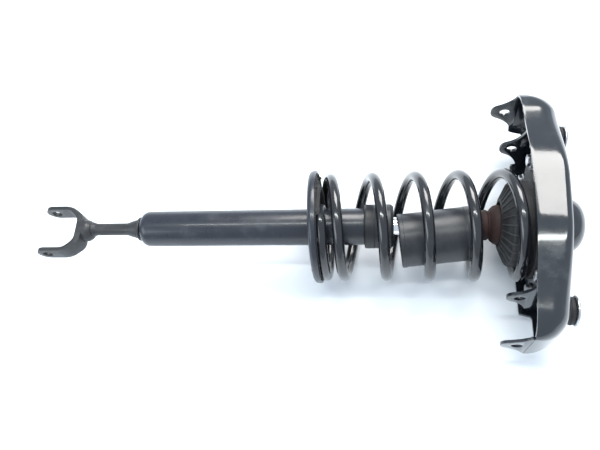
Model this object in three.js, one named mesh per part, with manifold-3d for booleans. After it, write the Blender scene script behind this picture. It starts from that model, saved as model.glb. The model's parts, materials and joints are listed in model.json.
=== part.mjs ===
// Coil-over strut for a multi-link front axle: fork, damper, coil spring and pressed mounting bracket.
// Millimetres, +Z up. The strut lies on its side: its axis runs along X, the fork points to -X and the
// mounting bracket is at +X with its long side along Y. The origin is the bottom centre of its box.
import * as THREE from "three";
import { mergeVertices } from "three/addons/utils/BufferGeometryUtils.js";
import Module from "manifold-3d";

const wasm = await Module();
wasm.setup();

// Driving dimensions. Stations are measured along the strut axis from the fork's bolt centre.
const GAP = 0.3; // clearance left between two pieces that touch
const FORK_GAP = 54; // between the inner faces of the fork's ears
const FORK_PLATE = 5;
const FORK_WIDTH = 27;
const FORK_BOLT_HOLE = 13;
const FORK_OFFSET = -3; // the fork is welded on a little below the axis
const FORK_WEB = 38; // station of the fork's inner web face
const STEM_START = 58;
const STEM_END = 106;
const STEM_DIAMETER = 16;
const TUBE_START = 127;
const TUBE_END = 449;
const TUBE_DIAMETER = 46;
const TUBE_WALL = 2;
const SEAT_STATION = 354; // underside of the lower spring seat
const SEAT_RADIUS = 71;
const SEAT_SHEET = 3;
const SEAT_TILT = THREE.MathUtils.degToRad(2.4);
const CAP_START = 419;
const CAP_END = 454.5;
const CAP_DIAMETER = 55;
const ROD_DIAMETER = 22;
const WIRE_DIAMETER = 13.2;
const COIL_RADIUS_LOW = 61;
const COIL_RADIUS_HIGH = 62.5;
const COIL_PITCH = 52;
const DUST_TUBE_DIAMETER = 67;
const DUST_TUBE_WALL = 2;
const DUST_TUBE_LENGTH = 86;
const DUST_TUBE_TILT = THREE.MathUtils.degToRad(6.1);
const DUST_TUBE_PIVOT = 636; // station on the axis that the loose dust tube swings about
const DUST_TUBE_SAG = THREE.MathUtils.degToRad(24); // direction in which it has dropped, seen along the axis
const BUMP_STOP_START = 558;
const MOUNT_TILT = THREE.MathUtils.degToRad(2.5); // bracket and upper seat, turned about Z
const MOUNT_STATION = 611.5; // where the tilted mount's plane crosses the axis
const BRACKET_OFFSET = 8; // the bracket's middle lies this far along Y from the axis
const BRACKET_HALF_LENGTH = 157;
const BRACKET_HALF_WIDTH = 70;
const BRACKET_END_HALF_WIDTH = 50;
const BRACKET_SHEET = 3.5;
const WEB_HEIGHT = 38; // web above the mount plane, at its middle
const WEB_CROWN = 2; // how much lower the web is at the bushes
const WEB_SLOPE = 0.02; // the web leans a little more than the wall edges do
const EAR_INNER = 99.5;
const EAR_HOLE = 12.5;
const BRACKET_CORNER = 31; // radius of the web's rounded ends
const BUSH_SPACING = 113; // from the bracket's middle to each bush
const BOLT_Y = 74; // the four bolts that hold the rubber mount, from the axis
const BOLT_Z = 26;

const TURN = 2 * Math.PI;

const material = (color, roughness, metalness) =>
  new THREE.MeshStandardMaterial({ color, roughness, metalness });
const GLOSS_BLACK = material(0x0c0d10, 0.25, 0.3);
const TUBE_BLACK = material(0x15181f, 0.4, 0.3);
const FORK_BLACK = material(0x1a1b1e, 0.55, 0.3);
const PLASTIC_BLACK = material(0x121316, 0.5, 0);
const RUBBER = material(0x1b1b1c, 0.85, 0);
const CHROME = material(0xd8dadd, 0.12, 1);
const STEEL = material(0x9a9da3, 0.4, 0.9);
const ZINC = material(0xb9bcc0, 0.35, 0.9);
const SINTERED = material(0x5e5c58, 0.6, 0.7);
const BRONZE_PTFE = material(0x6f4f2c, 0.5, 0.3);
const URETHANE = material(0x7a2f1c, 0.6, 0);

// Solids. A closed geometry becomes a manifold solid, is joined or cut, and comes back as a geometry.
function solid(geometry) {
  const bare = geometry.index ? geometry.toNonIndexed() : geometry.clone();
  bare.deleteAttribute("normal");
  bare.deleteAttribute("uv");
  const merged = mergeVertices(bare, 1e-3);
  return new wasm.Manifold(
    new wasm.Mesh({
      numProp: 3,
      vertProperties: merged.attributes.position.array,
      triVerts: new Uint32Array(merged.index.array),
    }),
  );
}

function geometryOf(manifold) {
  const mesh = manifold.getMesh();
  const geometry = new THREE.BufferGeometry();
  geometry.setAttribute("position", new THREE.BufferAttribute(mesh.vertProperties, 3));
  geometry.setIndex(new THREE.BufferAttribute(mesh.triVerts, 1));
  return geometry;
}

const cut = (base, ...tools) => tools.reduce((left, tool) => left.subtract(tool), base);
const join = (base, ...others) => others.reduce((sum, other) => sum.add(other), base);

function piece(name, shape, look) {
  const geometry = shape.isBufferGeometry ? shape : geometryOf(shape);
  const mesh = new THREE.Mesh(geometry, look);
  mesh.name = name;
  return mesh;
}

// A solid of revolution about X from [x, radius] points that run from low x to high x and start and
// end on the axis.
function turned(points, sides = 24) {
  const profile = points.map(([x, radius]) => new THREE.Vector2(radius, x));
  return new THREE.LatheGeometry(profile, sides).rotateZ(-Math.PI / 2);
}

// A ring about X: the outer wall's points run from low x to high x, the inner wall's points run back.
const ring = (outer, inner, sides) => turned([...outer, ...inner, outer[0]], sides);

const tube = (from, to, outerRadius, innerRadius, sides) =>
  ring([[from, innerRadius], [from, outerRadius], [to, outerRadius]], [[to, innerRadius]], sides);

const disc = (from, to, radius, sides) => turned([[from, 0], [from, radius], [to, radius], [to, 0]], sides);

// Points of a quarter round between two [x, radius] corners, bulging outwards, from the axis side out.
function quarter(centreX, centreRadius, size, fromAngle, toAngle, steps = 4) {
  const points = [];
  for (let i = 0; i <= steps; i++) {
    const angle = fromAngle + ((toAngle - fromAngle) * i) / steps;
    points.push([centreX + size * Math.cos(angle), centreRadius + size * Math.sin(angle)]);
  }
  return points;
}

// Extrusions. "Across Y" plates have their outline in X (first) and Z (second).
function slab(shape, thickness, curveSegments = 8) {
  return new THREE.ExtrudeGeometry(shape, { depth: thickness, bevelEnabled: false, curveSegments });
}
const acrossY = (shape, thickness, centreY, curveSegments) =>
  slab(shape, thickness, curveSegments)
    .translate(0, 0, -thickness / 2)
    .rotateX(Math.PI / 2)
    .translate(0, centreY, 0);
const TO_X = new THREE.Matrix4().makeBasis(
  new THREE.Vector3(0, 1, 0),
  new THREE.Vector3(0, 0, 1),
  new THREE.Vector3(1, 0, 0),
);
const alongX = (shape, from, to, curveSegments) =>
  slab(shape, to - from, curveSegments).applyMatrix4(TO_X).translate(from, 0, 0);

const rodAlongY = (radius, length, x, y, z, sides = 24) =>
  new THREE.CylinderGeometry(radius, radius, length, sides).translate(x, y, z);

// Lower end: a U-shaped fork with a boss, the slim stem and the weld collar under the tube.
function forkYoke() {
  const half = FORK_GAP / 2;
  const chamfer = 12;
  const webSheet = 8;
  const bendStart = FORK_WEB - chamfer;
  const outline = new THREE.Shape();
  outline.moveTo(0, half);
  outline.lineTo(bendStart, half);
  outline.lineTo(FORK_WEB, half - chamfer);
  outline.lineTo(FORK_WEB, -half + chamfer);
  outline.lineTo(bendStart, -half);
  outline.lineTo(0, -half);
  outline.lineTo(0, -half - FORK_PLATE);
  outline.lineTo(bendStart + 2, -half - FORK_PLATE);
  outline.lineTo(FORK_WEB + webSheet, -half + chamfer - 4);
  outline.lineTo(FORK_WEB + webSheet, half - chamfer + 4);
  outline.lineTo(bendStart + 2, half + FORK_PLATE);
  outline.lineTo(0, half + FORK_PLATE);
  const strap = slab(outline, FORK_WIDTH).translate(0, 0, -FORK_WIDTH / 2);
  const ear = rodAlongY(FORK_WIDTH / 2, FORK_PLATE, 0, 0, 0, 32);
  const upper = ear.clone().translate(0, half + FORK_PLATE / 2, 0);
  const lower = ear.clone().translate(0, -half - FORK_PLATE / 2, 0);
  const hole = rodAlongY(FORK_BOLT_HOLE / 2, FORK_GAP * 2, 0, 0, 0);
  const bossRadius = 14.5;
  const boss = turned([
    [FORK_WEB + 4, 0],
    [FORK_WEB + 4, bossRadius],
    [STEM_START - 6, bossRadius],
    [STEM_START - GAP, 11],
    [STEM_START - GAP, 0],
  ], 24).translate(0, -FORK_OFFSET * 0.5, 0);
  const yoke = cut(join(solid(strap), solid(upper), solid(lower), solid(boss)), solid(hole));
  const mesh = piece("fork_yoke", yoke, FORK_BLACK);
  mesh.position.y = FORK_OFFSET;
  return mesh;
}

function lowerEnd() {
  const stemRadius = STEM_DIAMETER / 2;
  const headRadius = 13; // where the stem spreads to meet the tube
  const stem = turned([
    [STEM_START, 0],
    [STEM_START, stemRadius + 2],
    [STEM_START + 4, stemRadius],
    [STEM_END, stemRadius],
    [STEM_END + 7, 10.5],
    [TUBE_START - 4, headRadius],
    [TUBE_START - GAP, headRadius],
    [TUBE_START - GAP, 0],
  ], 24);
  const collar = ring(
    [[TUBE_START - 4, headRadius + GAP], [TUBE_START - 2.5, 15.2], [TUBE_START - 1, 15.6]],
    [[TUBE_START - GAP, 14.6], [TUBE_START - GAP, headRadius + GAP]],
    24,
  );
  return [forkYoke(), piece("fork_stem", stem, FORK_BLACK), piece("stem_weld_collar", collar, FORK_BLACK)];
}

// The twin-tube damper: outer tube, inner cylinder, base valve, rod guide, oil seal and top cap.
function damperTubes() {
  const radius = TUBE_DIAMETER / 2;
  const bore = radius - TUBE_WALL;
  const end = 12; // radius of the tube's rounded lower end
  const cylinderBore = 15;
  const cylinderRadius = 16.5;
  const spigot = cylinderBore - 0.5; // what plugs into the inner cylinder
  const cylinderStart = TUBE_START + 20;
  const cylinderEnd = TUBE_END - 22;
  const outer = turned([
    [TUBE_START, 0],
    ...quarter(TUBE_START + end, radius - end, end, Math.PI, Math.PI / 2, 3),
    [TUBE_END, radius],
    [TUBE_END, bore],
    [TUBE_START + 14, bore],
    [TUBE_START + 5, bore - 8],
    [TUBE_START + 3, 0],
  ], 32);
  const cylinder = tube(cylinderStart, cylinderEnd, cylinderRadius, cylinderBore, 24);
  const baseValve = turned([
    [TUBE_START + 5.3, 0],
    [TUBE_START + 5.6, 12],
    [TUBE_START + 14.5, bore - 1],
    [cylinderStart - GAP, bore - 1],
    [cylinderStart - GAP, spigot],
    [cylinderStart + 8, spigot],
    [cylinderStart + 8, 0],
  ], 24);
  const rodBore = ROD_DIAMETER / 2 + GAP;
  const guideEnd = TUBE_END - 9;
  const guide = ring(
    [[cylinderEnd - 8, rodBore], [cylinderEnd - 8, spigot], [cylinderEnd + GAP, spigot],
      [cylinderEnd + GAP, bore - GAP], [guideEnd, bore - GAP]],
    [[guideEnd, rodBore]],
    24,
  );
  const seal = tube(guideEnd + GAP, TUBE_END - 2, bore - GAP, rodBore, 24);
  const capRadius = CAP_DIAMETER / 2;
  const capBore = ROD_DIAMETER / 2 + 2.5;
  const cap = ring(
    [[CAP_START, radius + GAP], [CAP_START, capRadius - 1], [CAP_START + 1, capRadius],
      [CAP_END - 3, capRadius], [CAP_END, capRadius - 3]],
    [[CAP_END, capBore], [TUBE_END + GAP, capBore], [TUBE_END + GAP, radius + GAP]],
    32,
  );
  const notch = new THREE.BoxGeometry(4, 6, 10).translate(CAP_END - 5, capRadius, 0);
  return [
    piece("damper_tube", outer, TUBE_BLACK),
    piece("inner_cylinder", cylinder, STEEL),
    piece("base_valve", baseValve, SINTERED),
    piece("rod_guide", guide, SINTERED),
    piece("oil_seal", seal, RUBBER),
    piece("tube_cap", cut(solid(cap), solid(notch.rotateX(0.5))), PLASTIC_BLACK),
  ];
}

// The pressed lower spring seat with its rubber pad, both slightly tilted on the tube.
function lowerSeat() {
  const neck = TUBE_DIAMETER / 2 + 1.6;
  const neckHeight = 16;
  const rim = 5; // radius of the bend at the rim
  const rimHeight = 9;
  const flat = SEAT_RADIUS - rim;
  const seat = ring(
    [[0, neck], [0, flat], ...quarter(rim, flat, rim, -Math.PI * 1.02, -Math.PI * 1.5, 3),
      [rimHeight, SEAT_RADIUS]],
    [[rimHeight, SEAT_RADIUS - SEAT_SHEET], [rim + 1, SEAT_RADIUS - SEAT_SHEET], [SEAT_SHEET, flat - 1],
      [SEAT_SHEET, 34], [8, 30], [neckHeight, neck + 2.6], [neckHeight, neck]],
    36,
  );
  const drainRadius = 4;
  const drainCircle = 39;
  const drains = [0, 1, 2].map((i) => {
    const angle = (i * TURN) / 3 + 0.4;
    const hole = disc(-10, 10, drainRadius, 16);
    return solid(hole.translate(0, drainCircle * Math.cos(angle), drainCircle * Math.sin(angle)));
  });
  const padBack = SEAT_SHEET + GAP;
  const pad = ring(
    [[padBack, 46], [padBack, 63], [padBack + 3, 66.8], [10, 67.6]],
    [[10, 66.2], [8.1, 63.8], [8, 54], [13.5, 51.5], [13.5, 47.5]],
    32,
  );
  const tilted = new THREE.Group();
  tilted.position.x = SEAT_STATION;
  tilted.rotation.z = SEAT_TILT;
  tilted.add(piece("lower_spring_seat", cut(solid(seat), ...drains), TUBE_BLACK));
  tilted.add(piece("lower_spring_pad", pad, RUBBER));
  const weld = ring(
    [[SEAT_STATION - 4, TUBE_DIAMETER / 2 + GAP], [SEAT_STATION - 3, 25.6], [SEAT_STATION - 1.8, 26.2]],
    [[SEAT_STATION - 1.8, TUBE_DIAMETER / 2 + GAP]],
    36,
  );
  return [tilted, piece("seat_weld_bead", weld, TUBE_BLACK)];
}

// The coil spring's centre line. The angle starts at +Y and grows towards +Z, as x grows. Both end
// turns lie on their seats, and the free turns between them lean a little to the side.
const COIL_START = -0.72; // turns, counted from the first free crest
const COIL_END = 4.98;
const COIL_FIRST = 368.3; // station of the free helix at angle 0
const COIL_LEAN_Y = 0.025;
const COIL_LEAN_Z = 0.1;
const COIL_BLEND = 3; // how softly the free helix settles on a seat, in mm
const LOWER_REST = SEAT_STATION + 15.2;
const UPPER_REST = MOUNT_STATION - 5.2;
const PIGTAIL_START = 4.55; // turns; the last of the wire closes in a little
const PIGTAIL = 2.5;

function smooth(value, low, high) {
  const t = Math.min(1, Math.max(0, (value - low) / (high - low)));
  return t * t * (3 - 2 * t);
}

const softExcess = (value) => COIL_BLEND * Math.log(1 + Math.exp(value / COIL_BLEND));

class SpringCurve extends THREE.Curve {
  getPoint(t, target = new THREE.Vector3()) {
    const turns = COIL_START + (COIL_END - COIL_START) * t;
    const angle = turns * TURN;
    const share = Math.max(0, turns) / COIL_END;
    const closing = PIGTAIL * smooth(turns, PIGTAIL_START, COIL_END);
    const radius = COIL_RADIUS_LOW + (COIL_RADIUS_HIGH - COIL_RADIUS_LOW) * share - closing;
    const y = radius * Math.cos(angle);
    const z = radius * Math.sin(angle);
    const free = COIL_FIRST + COIL_PITCH * turns + COIL_LEAN_Y * y + COIL_LEAN_Z * z;
    const lower = LOWER_REST - Math.tan(SEAT_TILT) * y;
    const upper = UPPER_REST + Math.tan(MOUNT_TILT) * y;
    const lifted = lower + softExcess(free - lower);
    return target.set(upper - softExcess(upper - lifted), y, z);
  }
}

function coilSpring() {
  const stepsPerTurn = 20;
  const wire = new THREE.Shape();
  wire.absarc(0, 0, WIRE_DIAMETER / 2, 0, TURN, false);
  const curve = new SpringCurve();
  const coil = new THREE.ExtrudeGeometry(wire, {
    steps: Math.round((COIL_END - COIL_START) * stepsPerTurn),
    curveSegments: 4,
    bevelEnabled: false,
    extrudePath: curve,
  });
  return piece("coil_spring", coil, GLOSS_BLACK);
}

// The chrome rod with its piston, and the bump stop on it.
function rodAndPiston() {
  const radius = ROD_DIAMETER / 2;
  const pistonAt = TUBE_END - 140;
  const pistonRadius = 14.2;
  const pistonHalf = 9;
  const grooveHalf = 5;
  const tail = 6; // radius of the rod's end that carries the piston
  const thread = 7; // radius of the rod's threaded top
  const rodTop = MOUNT_STATION + 58;
  const rod = turned([
    [pistonAt - 22, 0],
    [pistonAt - 22, tail],
    [pistonAt + pistonHalf, tail],
    [pistonAt + pistonHalf, radius],
    [MOUNT_STATION + 6, radius],
    [MOUNT_STATION + 8, thread],
    [rodTop - 1, thread],
    [rodTop, thread - 1],
    [rodTop, 0],
  ], 24);
  const nutShape = (across) => {
    const shape = new THREE.Shape();
    for (let i = 0; i < 6; i++) {
      const angle = (i * TURN) / 6;
      const corner = across / 2 / Math.cos(Math.PI / 6);
      shape[i ? "lineTo" : "moveTo"](corner * Math.cos(angle), corner * Math.sin(angle));
    }
    return shape;
  };
  const nut = (name, across, from, to, boreRadius) => {
    const body = solid(alongX(nutShape(across), from, to));
    return piece(name, cut(body, solid(disc(from - 1, to + 1, boreRadius, 24))), ZINC);
  };
  const grooveFloor = pistonRadius - 1.8;
  const piston = ring(
    [[pistonAt - pistonHalf, tail + GAP], [pistonAt - pistonHalf, pistonRadius],
      [pistonAt - grooveHalf, pistonRadius], [pistonAt - grooveHalf, grooveFloor],
      [pistonAt + grooveHalf, grooveFloor], [pistonAt + grooveHalf, pistonRadius],
      [pistonAt + pistonHalf - GAP, pistonRadius]],
    [[pistonAt + pistonHalf - GAP, tail + GAP]],
    24,
  );
  const bandHalf = grooveHalf - GAP;
  const band = tube(pistonAt - bandHalf, pistonAt + bandHalf, pistonRadius + 0.5, grooveFloor + GAP, 24);
  return [
    piece("piston_rod", rod, CHROME),
    piece("piston", piston, SINTERED),
    piece("piston_band", band, BRONZE_PTFE),
    nut("piston_nut", 19, pistonAt - 18, pistonAt - pistonHalf - GAP, tail + GAP),
    piece("rebound_stop", tube(pistonAt + 12, pistonAt + 22, 14, radius + GAP, 24), RUBBER),
    nut("rod_nut", 22, rodTop - 13, rodTop - 2, thread + GAP),
    piece("rod_washer", tube(rodTop - 16.3, rodTop - 13.3, 17, thread + GAP, 24), ZINC),
  ];
}

function bumpStop() {
  const bore = ROD_DIAMETER / 2 + GAP;
  const start = BUMP_STOP_START;
  const end = start + 38;
  const cupBore = 25.1;
  const cupSheet = 1.3;
  const stop = ring(
    [[start, bore], [start, 16.5], [start + 2, 18.5], [start + 7, 18.8], [start + 9, 17.4],
      [start + 11, 19.4], [start + 15, 23.6], [start + 22, 24.6], [start + 24, 23.2],
      [start + 26, 24.8], [end, 24.8]],
    [[end, bore]],
    28,
  );
  const cup = ring(
    [[end - 8, cupBore], [end - 8, cupBore + cupSheet], [end + 2.3, cupBore + cupSheet]],
    [[end + 2.3, bore], [end + GAP, bore], [end + GAP, cupBore]],
    28,
  );
  return [piece("bump_stop", stop, URETHANE), piece("bump_stop_cup", cup, STEEL)];
}

// The loose dust tube hangs askew round the rod.
function dustTube() {
  const reach = 175.2; // from the pivot down to the tube's lower end
  const sleeve = tube(-reach, -reach + DUST_TUBE_LENGTH, DUST_TUBE_DIAMETER / 2,
    DUST_TUBE_DIAMETER / 2 - DUST_TUBE_WALL, 32);
  const sagging = new THREE.Group();
  sagging.position.x = DUST_TUBE_PIVOT;
  sagging.rotation.x = DUST_TUBE_SAG;
  const swing = new THREE.Group();
  swing.rotation.z = DUST_TUBE_TILT;
  swing.add(piece("dust_tube", sleeve, PLASTIC_BLACK));
  sagging.add(swing);
  return sagging;
}

// Upper seat and mount. Heights are along X above the tilted mount plane.
const BOLT_PLACES = [[-BOLT_Y, -BOLT_Z], [-BOLT_Y, BOLT_Z], [BOLT_Y, -BOLT_Z], [BOLT_Y, BOLT_Z]];
const BOLT_RADIUS = 4;
const PLATE_FLOOR = 7 + GAP; // the spring plate's underside
const PLATE_TOP = 10;
const PLATE_HALF_LENGTH = 86;

function upperSeat() {
  const insulator = ring(
    [[-32, 27.3], [-31, 30], [-21, 51], [-1, 52.4], [1.8, 54.5], [1.8, 65]],
    [[PLATE_FLOOR - GAP, 65.6], [PLATE_FLOOR - GAP, 33], [-8, 31], [-26, 27.3]],
    32,
  );
  const outline = new THREE.Shape();
  outline.absellipse(0, 0, PLATE_HALF_LENGTH, BRACKET_HALF_WIDTH - BRACKET_SHEET - 1, 0, TURN, false, 0);
  const bore = solid(disc(0, 20, 33, 32));
  const boltHole = disc(0, 20, BOLT_RADIUS + 0.8, 16);
  const boltHoles = BOLT_PLACES.map(([y, z]) => solid(boltHole.clone().translate(0, y, z)));
  const plate = cut(solid(alongX(outline, PLATE_FLOOR, PLATE_TOP, 20)), bore, ...boltHoles);
  return [
    piece("upper_insulator", insulator, RUBBER),
    piece("upper_spring_plate", plate, TUBE_BLACK),
  ];
}

function rubberMount() {
  const flangeTop = PLATE_TOP + 2.3;
  const cupTop = 29;
  const cupRadius = 42;
  const cupBore = 40;
  const sleeveRadius = 15.7;
  const housing = ring(
    [[PLATE_TOP + GAP, 34], [PLATE_TOP + GAP, 52], [flangeTop, 52], [flangeTop, cupRadius],
      [cupTop, cupRadius]],
    [[cupTop, cupBore], [flangeTop, cupBore], [flangeTop, 34]],
    24,
  );
  const rubber = ring(
    [[13, sleeveRadius + GAP], [13, cupBore - 0.4], [28.5, cupBore - 0.4]],
    [[28.5, sleeveRadius + GAP], [25, 19], [17, 19]],
    24,
  );
  const sleeve = tube(11, 37, sleeveRadius, 9.6, 24);
  return [
    piece("mount_housing", housing, TUBE_BLACK),
    piece("mount_rubber", rubber, RUBBER),
    piece("mount_sleeve", sleeve, ZINC),
  ];
}

// The pressed bracket: a lofted form, less the same form one sheet smaller.
const webHeight = (y) => WEB_HEIGHT + WEB_SLOPE * y - WEB_CROWN * (y / BUSH_SPACING) ** 2;

// A solid through equal rings of points, closed by a fan at each end.
function lofted(rings) {
  const count = rings[0].length;
  const vertices = rings.flat();
  const faces = [];
  for (let r = 0; r + 1 < rings.length; r++)
    for (let i = 0; i < count; i++) {
      const a = r * count + i;
      const b = r * count + ((i + 1) % count);
      faces.push(a, b, b + count, a, b + count, a + count);
    }
  for (const [ringIndex, flip] of [[0, true], [rings.length - 1, false]]) {
    const middle = rings[ringIndex].reduce((sum, p) => sum.add(p), new THREE.Vector3()).divideScalar(count);
    vertices.push(middle);
    for (let i = 0; i < count; i++) {
      const a = ringIndex * count + i;
      const b = ringIndex * count + ((i + 1) % count);
      faces.push(...(flip ? [b, a, vertices.length - 1] : [a, b, vertices.length - 1]));
    }
  }
  const numbers = vertices.flatMap((vertex) => vertex.toArray());
  const geometry = new THREE.BufferGeometry();
  geometry.setAttribute("position", new THREE.Float32BufferAttribute(numbers, 3));
  geometry.setIndex(faces);
  return geometry;
}

// One cross-section of the bracket at y: the web on top, a wall down each side.
function bracketSection(y, drop, narrowing, inset, floor) {
  const far = Math.abs(y);
  const height = webHeight(y) - drop - inset;
  const taper = smooth(far, 25, BRACKET_HALF_LENGTH - 15);
  const half = BRACKET_HALF_WIDTH + (BRACKET_END_HALF_WIDTH - BRACKET_HALF_WIDTH) * taper - narrowing - inset;
  const edgeRadius = 12 + 9 * taper - inset;
  const round = Math.max(1.5, Math.min(edgeRadius, (height - floor) * 0.8));
  const steps = 5;
  const points = [new THREE.Vector3(floor, y, half)];
  for (let i = 0; i <= steps; i++) {
    const angle = ((Math.PI / 2) * i) / steps;
    const x = height - round + round * Math.sin(angle);
    points.push(new THREE.Vector3(x, y, half - round + round * Math.cos(angle)));
  }
  const mirrored = points.map((p) => new THREE.Vector3(p.x, p.y, -p.z)).reverse();
  return [...points, ...mirrored];
}

function bracketForm(inset) {
  const end = BRACKET_HALF_LENGTH - inset;
  const corner = BRACKET_CORNER - inset;
  const floor = inset ? -50 : -8; // the inner form runs on below, so that it opens the walls
  const endNarrowing = 22;
  const steps = 6;
  const places = [];
  for (let i = steps; i >= 0; i--) {
    const angle = ((Math.PI / 2) * i) / steps;
    const narrowing = endNarrowing * (1 - Math.sqrt(1 - (0.97 * Math.sin(angle)) ** 2));
    places.push([end - corner + corner * Math.sin(angle), corner * (1 - Math.cos(angle)), narrowing]);
  }
  for (const y of [95, 70, 45, 20]) places.push([y, 0, 0]);
  const mirrored = places.map(([y, drop, narrowing]) => [-y, drop, narrowing]);
  const all = [...mirrored, ...places.reverse()];
  return solid(lofted(all.map(([y, drop, narrowing]) => bracketSection(y, drop, narrowing, inset, floor))));
}

// What is cut off below the walls: their edges follow a shallow arch, and the far wall is notched at
// each end, where the control arms pass.
function wallTrim() {
  const past = BRACKET_HALF_LENGTH + 10;
  const trim = new THREE.Shape();
  trim.moveTo(-40, -past);
  trim.lineTo(-4.5, -past);
  trim.bezierCurveTo(-1.5, -60, 0, 40, -7, past);
  trim.lineTo(-40, past);
  const edges = solid(slab(trim, 200, 10).translate(0, 0, -100));
  const notches = [-1, 1].map((end) => {
    const width = BRACKET_HALF_LENGTH - EAR_INNER - 14;
    const notch = new THREE.BoxGeometry(40, width, 60);
    return solid(notch.translate(-8, end * (BRACKET_HALF_LENGTH - 7 - width / 2), -BRACKET_HALF_WIDTH));
  });
  return join(edges, ...notches);
}

// An ear in X and Z: a rounded tip round the bolt hole that flares to the width of its root.
function earShape(tipX, rootX, rootHalfWidth, tipRadius = 13.5) {
  const shape = new THREE.Shape();
  const touch = 0.6 * Math.PI; // where the rounded tip meets the flared edge
  const edgeX = tipX + tipRadius + tipRadius * Math.cos(touch);
  const edgeZ = tipRadius * Math.sin(touch);
  shape.moveTo(rootX, -rootHalfWidth);
  shape.lineTo(rootX, rootHalfWidth);
  shape.quadraticCurveTo(tipX + 24, edgeZ + 8, edgeX, edgeZ);
  shape.absarc(tipX + tipRadius, 0, tipRadius, touch, TURN - touch, false);
  shape.quadraticCurveTo(tipX + 24, -edgeZ - 8, rootX, -rootHalfWidth);
  return shape;
}

function bracket() {
  const outerEarTip = -35;
  const innerEarTip = -26;
  const earSheet = 4;
  const innerEarRoot = 12;
  const acrossEar = (shape, y) => solid(acrossY(shape, earSheet, y, 6));
  const earHole = (x, y) => solid(rodAlongY(EAR_HOLE / 2, 30, x, y, 0));
  const outerY = BRACKET_HALF_LENGTH - earSheet / 2 - 0.5;
  const outerEars = [-1, 1].map((end) => acrossEar(earShape(outerEarTip, 1, 33), end * outerY));
  const outerHoles = [-1, 1].map((end) => earHole(outerEarTip + 18, end * outerY));
  const capBore = solid(disc(0, 80, 27, 32).translate(0, -BRACKET_OFFSET, 0));
  const bushBores = [-1, 1].map((end) => solid(disc(0, 80, 8, 20).translate(0, end * BUSH_SPACING, 0)));
  const shell = cut(bracketForm(0), bracketForm(BRACKET_SHEET), wallTrim());
  const pressed = cut(join(shell, ...outerEars), ...outerHoles, capBore, ...bushBores);
  const innerEars = [-1, 1].map((end) => {
    const plate = acrossEar(earShape(innerEarTip, innerEarRoot, 48), end * EAR_INNER);
    const hole = earHole(innerEarTip + 15, end * EAR_INNER);
    return piece(end < 0 ? "arm_ear_lower" : "arm_ear_upper", cut(plate, hole), GLOSS_BLACK);
  });
  return [piece("bracket_shell", pressed, GLOSS_BLACK), ...innerEars];
}

function bracketFittings() {
  const fittings = [];
  const insertRadius = 7.7;
  const bore = insertRadius + 2 * GAP;
  for (const [label, end] of [["lower", -1], ["upper", 1]]) {
    const y = end * BUSH_SPACING;
    const seat = webHeight(y) + 1.2;
    const bush = ring(
      [[seat, bore], [seat, 15.5], [seat + 6, 16.5], [seat + 11, 15]],
      [[seat + 11, bore]],
      24,
    );
    const washer = ring(
      [[seat + 11 + GAP, bore], [seat + 11 + GAP, 16.5], [seat + 13.3, 17.7]],
      [[seat + 15.3, 16.7], [seat + 15.3, bore]],
      24,
    );
    const insert = tube(seat - 9, seat + 15.8, insertRadius, 4.2, 20);
    fittings.push(
      piece(`body_bush_${label}`, bush.translate(0, y, 0), RUBBER),
      piece(`bush_washer_${label}`, washer.translate(0, y, 0), ZINC),
      piece(`threaded_insert_${label}`, insert.translate(0, y, 0), ZINC),
    );
  }
  const pinY = -64;
  const pinBase = webHeight(pinY) + GAP;
  const pinTop = pinBase + 8.7;
  const pin = turned([[pinBase, 0], [pinBase, 3.5], [pinTop - 2, 3.5], [pinTop, 2], [pinTop, 0]], 20);
  fittings.push(piece("locating_pin", pin.translate(0, pinY, 0), ZINC));
  return fittings;
}

function domeCap() {
  const base = webHeight(-BRACKET_OFFSET) + GAP + 0.8; // its rim just clears the sloping web
  const dome = turned([[base, 0], [base, 37], [base + 1.6, 37], [base + 3, 34.5], [base + 10, 33],
    [base + 18, 28.5], [base + 24.5, 19], [base + 27.5, 9], [base + 28, 0]], 32);
  const hollow = turned([[base - 1, 0], [base - 1, 31.5], [base + 9, 31], [base + 16.5, 26.5],
    [base + 22.5, 17], [base + 25.5, 0]], 24);
  return piece("dome_cap", cut(solid(dome), solid(hollow)), GLOSS_BLACK);
}

// The bolts that hold the rubber mount, each in a threaded boss under the web.
function mountBolts() {
  const hexRadius = 7.5;
  const pieces = [];
  for (const [index, [y, z]] of BOLT_PLACES.entries()) {
    const head = new THREE.CylinderGeometry(hexRadius, hexRadius, 6, 6);
    head.rotateZ(Math.PI / 2).translate(3.7, 0, 0);
    const flange = disc(5.4, PLATE_FLOOR - GAP, 9, 20);
    const shank = disc(6, 26, BOLT_RADIUS, 16);
    const bolt = join(solid(head), solid(flange), solid(shank)).translate([0, y, z]);
    const webUnderside = webHeight(y - BRACKET_OFFSET) - BRACKET_SHEET;
    const boss = tube(PLATE_TOP + GAP, webUnderside - 3 * GAP, 8, BOLT_RADIUS + GAP, 16);
    pieces.push(
      piece(`mount_bolt_${index + 1}`, bolt, ZINC),
      piece(`threaded_boss_${index + 1}`, boss.translate(0, y, z), GLOSS_BLACK),
    );
  }
  return pieces;
}

// Assembly, with the axis on X, then moved so that the origin is the bottom centre of the box.
const strut = new THREE.Group();
strut.add(...lowerEnd(), ...damperTubes(), ...lowerSeat(), coilSpring());
strut.add(...rodAndPiston(), ...bumpStop(), dustTube());

const mount = new THREE.Group();
mount.position.x = MOUNT_STATION;
mount.rotation.z = -MOUNT_TILT;
mount.add(...upperSeat(), ...rubberMount(), domeCap(), ...mountBolts());
const bracketGroup = new THREE.Group();
bracketGroup.position.y = BRACKET_OFFSET;
bracketGroup.add(...bracket(), ...bracketFittings());
mount.add(bracketGroup);
strut.add(mount);

const assembly = new THREE.Group();
assembly.add(strut);
const box = new THREE.Box3().setFromObject(assembly, true);
const middle = box.getCenter(new THREE.Vector3());
strut.position.set(-middle.x, -middle.y, -box.min.z);

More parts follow.
